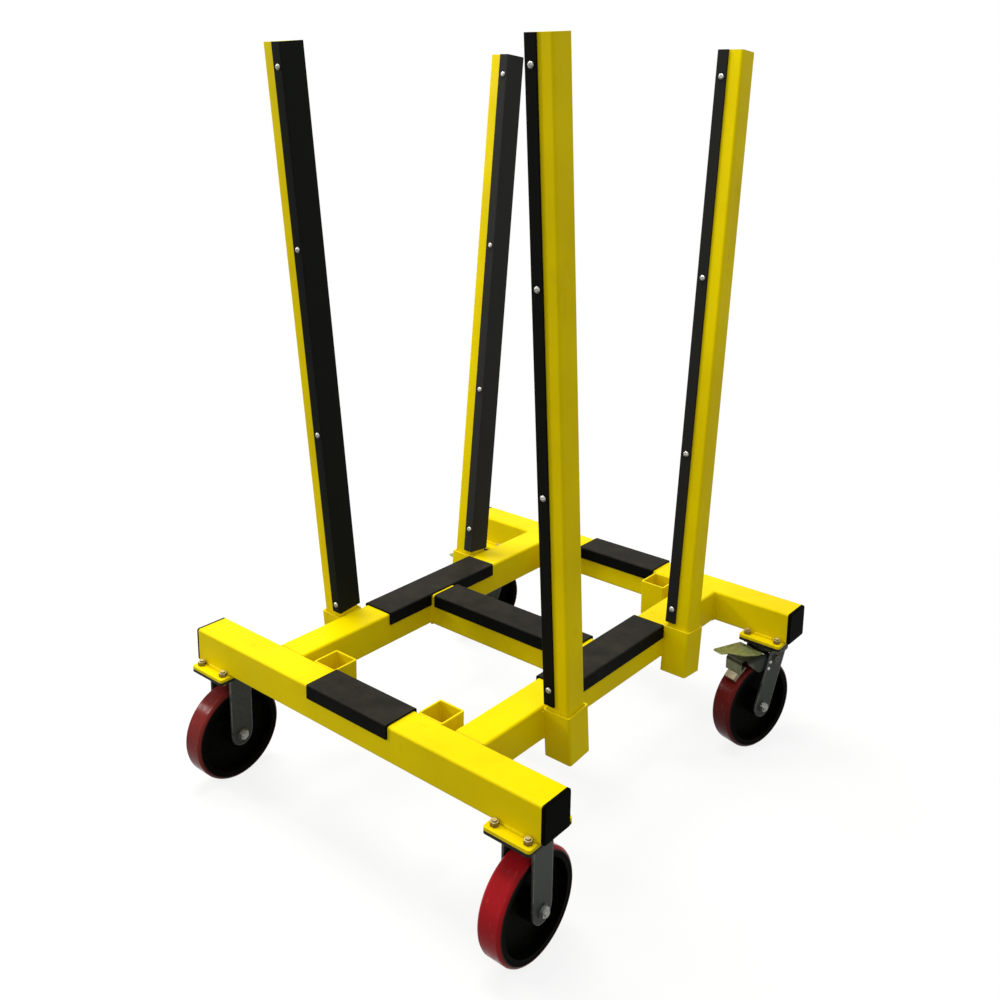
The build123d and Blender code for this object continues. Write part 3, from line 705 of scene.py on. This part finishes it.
def bead(start, finish, radius, scales=0.1, pitch=0.005, sides=10):
    """Tube from start to finish, closed at both ends: radius x (1 - scales x (1 - |cos|)).

    The cosine does half a wave over each puddle's pitch. The first axis of the ring is square to the
    line and to a direction along which no weld runs.
    """
    start, finish = np.array(start), np.array(finish)
    length = np.linalg.norm(finish - start)
    along = np.linspace(0.0, 1.0, max(int(length / pitch * 4), 8))
    size = radius * (1 - scales * (1 - np.abs(np.cos(np.pi * along * length / pitch))))
    size *= np.clip(np.minimum(along, 1 - along) * length / radius, 0.0, 1.0) ** 0.5
    forward = (finish - start) / length
    first = np.cross(forward, ASKEW)
    first /= np.linalg.norm(first)
    second = np.cross(forward, first)
    turn = np.linspace(0.0, 2 * np.pi, sides, endpoint=False)
    ring = np.cos(turn)[:, None] * first + np.sin(turn)[:, None] * second
    line = start + along[:, None] * (finish - start)
    return (line[:, None] + size[:, None, None] * ring)[None]


# %% Sizes that the welds follow
RAIL_BEAD, SOCKET_BEAD, FLUSH_BEAD = 0.0032, 0.0028, 0.00175
TOP_GAP = 0.008
rail_x, rail_end, half = rail_middle[0], rail_half[1], rail_half[0]
weld_low, weld_high = rail_middle[2] - rail_half[2], frame_top - TOP_GAP
print("welds from", round(weld_low, 3), "to", round(weld_high, 3), "m above the floor")

# %% Rails on the end beams
CORNER_GAP = 0.001
FLUSH_REACH = 0.031


def rail_welds(side, end):
    """Two upright beads on the rail's sides, one along its bottom, and one on top that is ground flush."""
    x, y = side * rail_x, end * rail_end
    left, right = x - half, x + half
    flush_y, flush_z = end * (rail_end + FLUSH_BEAD), frame_top - FLUSH_BEAD
    return [
        bead((left, y, weld_low), (left, y, weld_high), RAIL_BEAD),
        bead((right, y, weld_low), (right, y, weld_high), RAIL_BEAD),
        bead((left + CORNER_GAP, y, weld_low), (right - CORNER_GAP, y, weld_low), RAIL_BEAD),
        bead((x - FLUSH_REACH, flush_y, flush_z), (x + FLUSH_REACH, flush_y, flush_z), FLUSH_BEAD, 0.0),
    ]


# %% Sockets on the end beams and on the rails
SOCKET_LEAN = 5.18
SOCKET_ALONG, SOCKET_START = 0.0301, 0.252
inner_middle, inner_half = middle_and_half("rear_right_inner_socket")


def inner_socket_welds(side, end):
    """Upright beads on both sides of an inner socket."""
    y = end * rail_end
    sides = [side * inner_middle[0] + edge * inner_half[0] for edge in (-1, 1)]
    return [bead((x, y, weld_low), (x, y, weld_high), SOCKET_BEAD) for x in sides]


def post_socket_welds(side, end):
    """Beads on both sides of a post's socket that lean with it: y + tan(lean) x (height - frame top)."""
    x = side * (rail_x + half)
    levels = np.array([SOCKET_START, weld_high])
    shifts = end * np.tan(np.radians(SOCKET_LEAN)) * (levels - frame_top)
    sides = [end * POST_Y + edge * SOCKET_ALONG for edge in (-1, 1)]
    return [bead((x, y + shifts[0], levels[0]), (x, y + shifts[1], levels[1]), SOCKET_BEAD) for y in sides]


# %% Mount plates under the end beams
FILLETS = [(0.0025, 0.0035, 0.046), (0.0015, 0.0042, 0.024)]
beam_y = middle_and_half("rear_end_beam")[0][1]
caster_x = middle_and_half("rear_right_swivel_plate")[0][0]


def plate_welds(side, end):
    """Along both edges of a beam's underside, a long thin fillet and a shorter thicker one.

    Each fillet has its inset from the beam's corner, its radius and its reach to either side.
    """
    beads = []
    for edge in (-1, 1):
        for inset, radius, reach in FILLETS:
            x, y, z = side * caster_x, end * beam_y + edge * (half - inset), weld_low + inset
            beads.append(bead((x - reach, y, z), (x + reach, y, z), radius, 0.05))
    return beads


# %% Centre beam between the rails
CENTRE_GAP = 0.004
cap_middle, cap_half = middle_and_half("centre_beam_cap")
cap_low = cap_middle[2] - cap_half[2]


def centre_welds(side):
    """Two upright beads on the centre beam's sides, up to its cap, and one along its bottom."""
    x = side * (rail_x - half)
    uprights = [bead((x, y, weld_low + CENTRE_GAP), (x, y, cap_low), RAIL_BEAD) for y in (-half, half)]
    return [*uprights, bead((x, -half, weld_low), (x, half, weld_low), RAIL_BEAD)]


# %% All beads in one piece
beads = []
for side in (-1, 1):
    for end in (-1, 1):
        beads += rail_welds(side, end)
        beads += inner_socket_welds(side, end)
        beads += post_socket_welds(side, end)
        beads += plate_welds(side, end)
    beads += centre_welds(side)
print("weld beads:", len(beads))
make_piece("frame_weld_beads", beads, enamel, "frame")

# %% [markdown]
# ## Axle washers
# Under the head and the nut of each axle lies a flat washer, clamped to the fork and as dull
# as the fork's plating. It could be a cylinder with a hole cut in it. Here its profile, with
# a small edge radius that catches the light, is carried once round the axle, and the washer
# rides with the body that its wheel turns on.

# %% Ring with a rounded edge
def washer(inner, outer, thick, edge):
    """Closed ring profile with rounded outer corners, carried round a circle; rows follow the profile."""
    corner = np.linspace(0.0, np.pi / 2, 5)
    top = np.stack([outer - edge + edge * np.sin(corner), thick - edge + edge * np.cos(corner)], 1)
    profile = np.concatenate([[(inner, thick)], top, [(outer, 0.0), (inner, 0.0), (inner, thick)]])
    turn = np.linspace(0.0, 2 * np.pi, 48, endpoint=False)
    radius, level = profile[:, 0, None], profile[:, 1, None]
    shape = [radius * np.cos(turn), radius * np.sin(turn), np.repeat(level, len(turn), axis=1)]
    return np.stack(shape, axis=-1)


# %% Two washers on each axle
LEG_FACE = 0.0342
UPRIGHT = np.array([0.0, 0.0, 1.0])
ring = washer(inner=0.0062, outer=0.0125, thick=0.0018, edge=0.0005)
for corner in CORNERS:
    hands = np.array([[-1.0], [1.0]])
    spots = wheel_centres[corner] + hands * LEG_FACE * axles[corner]
    grid = stand_on(ring, *frames_at(spots, hands * axles[corner], UPRIGHT))
    body = joints[f"{corner}_wheel_spin"]["parent"]
    make_piece(f"{corner}_axle_washers", [grid], fork_zinc, body)

# %% [markdown]
# ## Rivets of the swivel forks
# Near the leading edge of each swivel leg are two domed rivets. On braked casters such
# rivets hold the brake's spring inside the fork. A domed head is the pan head without its
# recess, so the same function makes it. The places are given along the trail and above the
# axle, and both legs of a fork have them.

# %% Four rivets on each swivel fork
RIVETS = np.array([(-0.0172, 0.1007), (-0.0120, 0.0867)])
dome = pan_head(radius=0.0042, height=0.0024, slot_width=0.0, slot_length=0.0, depth=0.0)
for corner in SWIVELS:
    axle = axles[corner]
    trail = np.cross(axle, UPRIGHT)
    hands = np.repeat([-1.0, 1.0], len(RIVETS))[:, None]
    along, above = np.tile(RIVETS, (2, 1)).T[:, :, None]
    spots = wheel_centres[corner] + along * trail + above * UPRIGHT + hands * LEG_FACE * axle
    grid = stand_on(dome, *frames_at(spots, hands * axle, UPRIGHT))
    make_piece(f"{corner}_fork_rivets", [grid], bright_zinc, f"{corner}_swivel")

# %% [markdown]
# ## Floor
# The cart stands on a wide pale sheet. A white sheet under studio lamps would come out grey
# in places, so rays from the camera, and reflections, see it mostly as plain white, while a
# share of real diffuse shading keeps the cart's soft shadow on it. The rays that light the
# cart from below meet a greyer sheet, as in a large dim hall.

# %% Which rays see white
def white_for_the_eye(tree):
    """1 for camera, glossy and transmission rays, and 0 for the rays that light the cart."""
    path = add(tree, "LightPath")
    seen = add(tree, "Math", {0: path.outputs["Is Camera Ray"], 1: path.outputs["Is Glossy Ray"]},
               operation="MAXIMUM")
    return add(tree, "Math", {0: seen.outputs[0], 1: path.outputs["Is Transmission Ray"]},
               operation="MAXIMUM").outputs[0]


# %% Pale sheet
FLOOR_HALF = 7.0
WHITE = (1.0, 1.0, 1.0, 1.0)


def floor_material():
    """Diffuse floor, with plain white mixed in for the rays that see it: 0.85 near, all from 2 m on."""
    material = bpy.data.materials.new("pale_studio_floor")
    material.use_nodes = True
    tree = material.node_tree
    tree.nodes.clear()
    eye = white_for_the_eye(tree)
    sheet_colour = add(tree, "Mix", {0: eye, 6: linear("#7C7C79"), 7: linear("#F2F2F0")}, data_type="RGBA")
    matte = add(tree, "BsdfDiffuse", {"Color": sheet_colour.outputs[2]})
    white = add(tree, "Emission", {"Color": WHITE, "Strength": 1.0})
    reach = add(tree, "VectorMath", {0: add(tree, "TexCoord").outputs["Object"]}, operation="LENGTH")
    part = add(tree, "MapRange", {"Value": reach.outputs["Value"], 1: 0.9, 2: 2.0, 3: 0.85, 4: 1.0})
    share = add(tree, "Math", {0: eye, 1: part.outputs[0]}, operation="MULTIPLY")
    mix = add(tree, "MixShader", {0: share.outputs[0], 1: matte.outputs[0], 2: white.outputs[0]})
    add(tree, "OutputMaterial", {"Surface": mix.outputs[0]})
    return material


ends = np.array([-FLOOR_HALF, FLOOR_HALF])
sheet = np.stack([*np.meshgrid(ends, ends, indexing="ij"), np.zeros((2, 2))], axis=-1)
floor_mesh = bpy.data.meshes.new("studio_floor")
floor_mesh.from_pydata(sheet.reshape(-1, 3), [], [(0, 2, 3, 1)])
floor_mesh.materials.append(floor_material())
floor = bpy.data.objects.new("studio_floor", floor_mesh)
bpy.context.scene.collection.objects.link(floor)
print("floor:", 2 * FLOOR_HALF, "m wide")

# %% [markdown]
# ## Light
# A white studio lights from all sides a little and from above the most. The weak even part
# is the world, which the camera sees as white, and the rest is three soft boxes: one above,
# one above on the left, and a small one lower down at the front left. Area lamps are chosen
# because their size sets how soft the shadows and highlights are.

# %% Sky
SKY_LIGHT = 0.66
world = bpy.data.worlds.new("studio_sky")
world.use_nodes = True
sky = world.node_tree
sky.nodes.clear()
dim = add(sky, "Background", {"Color": WHITE, "Strength": SKY_LIGHT})
white = add(sky, "Background", {"Color": WHITE, "Strength": 1.0})
both = add(sky, "MixShader", {0: white_for_the_eye(sky), 1: dim.outputs[0], 2: white.outputs[0]})
add(sky, "OutputWorld", {"Surface": both.outputs[0]})
bpy.context.scene.world = world
print("sky: seen as white, and lights with", SKY_LIGHT, "of that")

# %% Soft boxes
def soft_box(name, place, aim, width, power):
    """Square area lamp at a place, turned so that it shines at the aim point."""
    lamp = bpy.data.lights.new(name, "AREA")
    lamp.size = width
    lamp.energy = power
    box = bpy.data.objects.new(name, lamp)
    box.location = place
    towards = Vector(aim) - Vector(place)
    box.rotation_euler = towards.to_track_quat("-Z", "Y").to_euler()
    bpy.context.scene.collection.objects.link(box)
    print("lamp:", name, power, "W")


soft_box("soft_box_above", place=(0.0, -0.3, 4.2), aim=(0.0, 0.0, 0.4), width=1.0, power=57.0)
soft_box("soft_box_left", place=(-1.8, 0.0, 3.8), aim=(0.0, 0.0, 0.4), width=1.6, power=84.0)
soft_box("soft_box_front_left", place=(-2.6, -1.9, 1.9), aim=(-0.1, -0.3, 0.3), width=0.5, power=31.0)

# %% [markdown]
# ## Camera
# A camera could be turned by eye until the picture looks right. This one was fitted to about
# a hundred points measured in the photograph, because only a fit also finds the lens. It
# gives the place, the heading, the tilt, the roll, the focal length and the middle of the
# lens, which lies above the middle of the picture and so becomes a shift. The Standard view
# shows the colours as they were given.

# %% Camera of the photograph
PICTURE_PX = 1000
SENSOR_MM = 36.0


def aim_camera(place, heading, tilt, roll, focal_px, middle_px):
    """Axes from heading, tilt and roll; lens = focal / width x sensor; shift = offset of the lens middle."""
    heading, tilt, roll = np.radians([heading, tilt, roll])
    forward = np.array([-np.sin(heading) * np.cos(tilt), np.cos(heading) * np.cos(tilt), -np.sin(tilt)])
    right = np.array([np.cos(heading), np.sin(heading), 0.0])
    up = np.cross(right, forward)
    across = right * np.cos(roll) + up * np.sin(roll)
    upright = up * np.cos(roll) - right * np.sin(roll)
    lens = bpy.data.cameras.new("photo_camera")
    lens.sensor_fit = "HORIZONTAL"
    lens.sensor_width = SENSOR_MM
    lens.lens = focal_px / PICTURE_PX * SENSOR_MM
    lens.shift_x = (PICTURE_PX / 2 - middle_px[0]) / PICTURE_PX
    lens.shift_y = (middle_px[1] - PICTURE_PX / 2) / PICTURE_PX
    lens.clip_end = 60.0
    camera = bpy.data.objects.new("photo_camera", lens)
    turn = Matrix(np.stack([across, upright, -forward], axis=1).tolist()).to_4x4()
    camera.matrix_world = Matrix.Translation(place) @ turn
    bpy.context.scene.collection.objects.link(camera)
    print("camera: lens of", round(lens.lens, 1), "mm")
    return camera


bpy.context.scene.camera = aim_camera(
    place=(1.365159, -1.672506, 1.390757),
    heading=38.80576,
    tilt=12.13297,
    roll=0.96332,
    focal_px=1091.7537,
    middle_px=(522.7777, 339.1340),
)
bpy.context.scene.view_settings.view_transform = "Standard"
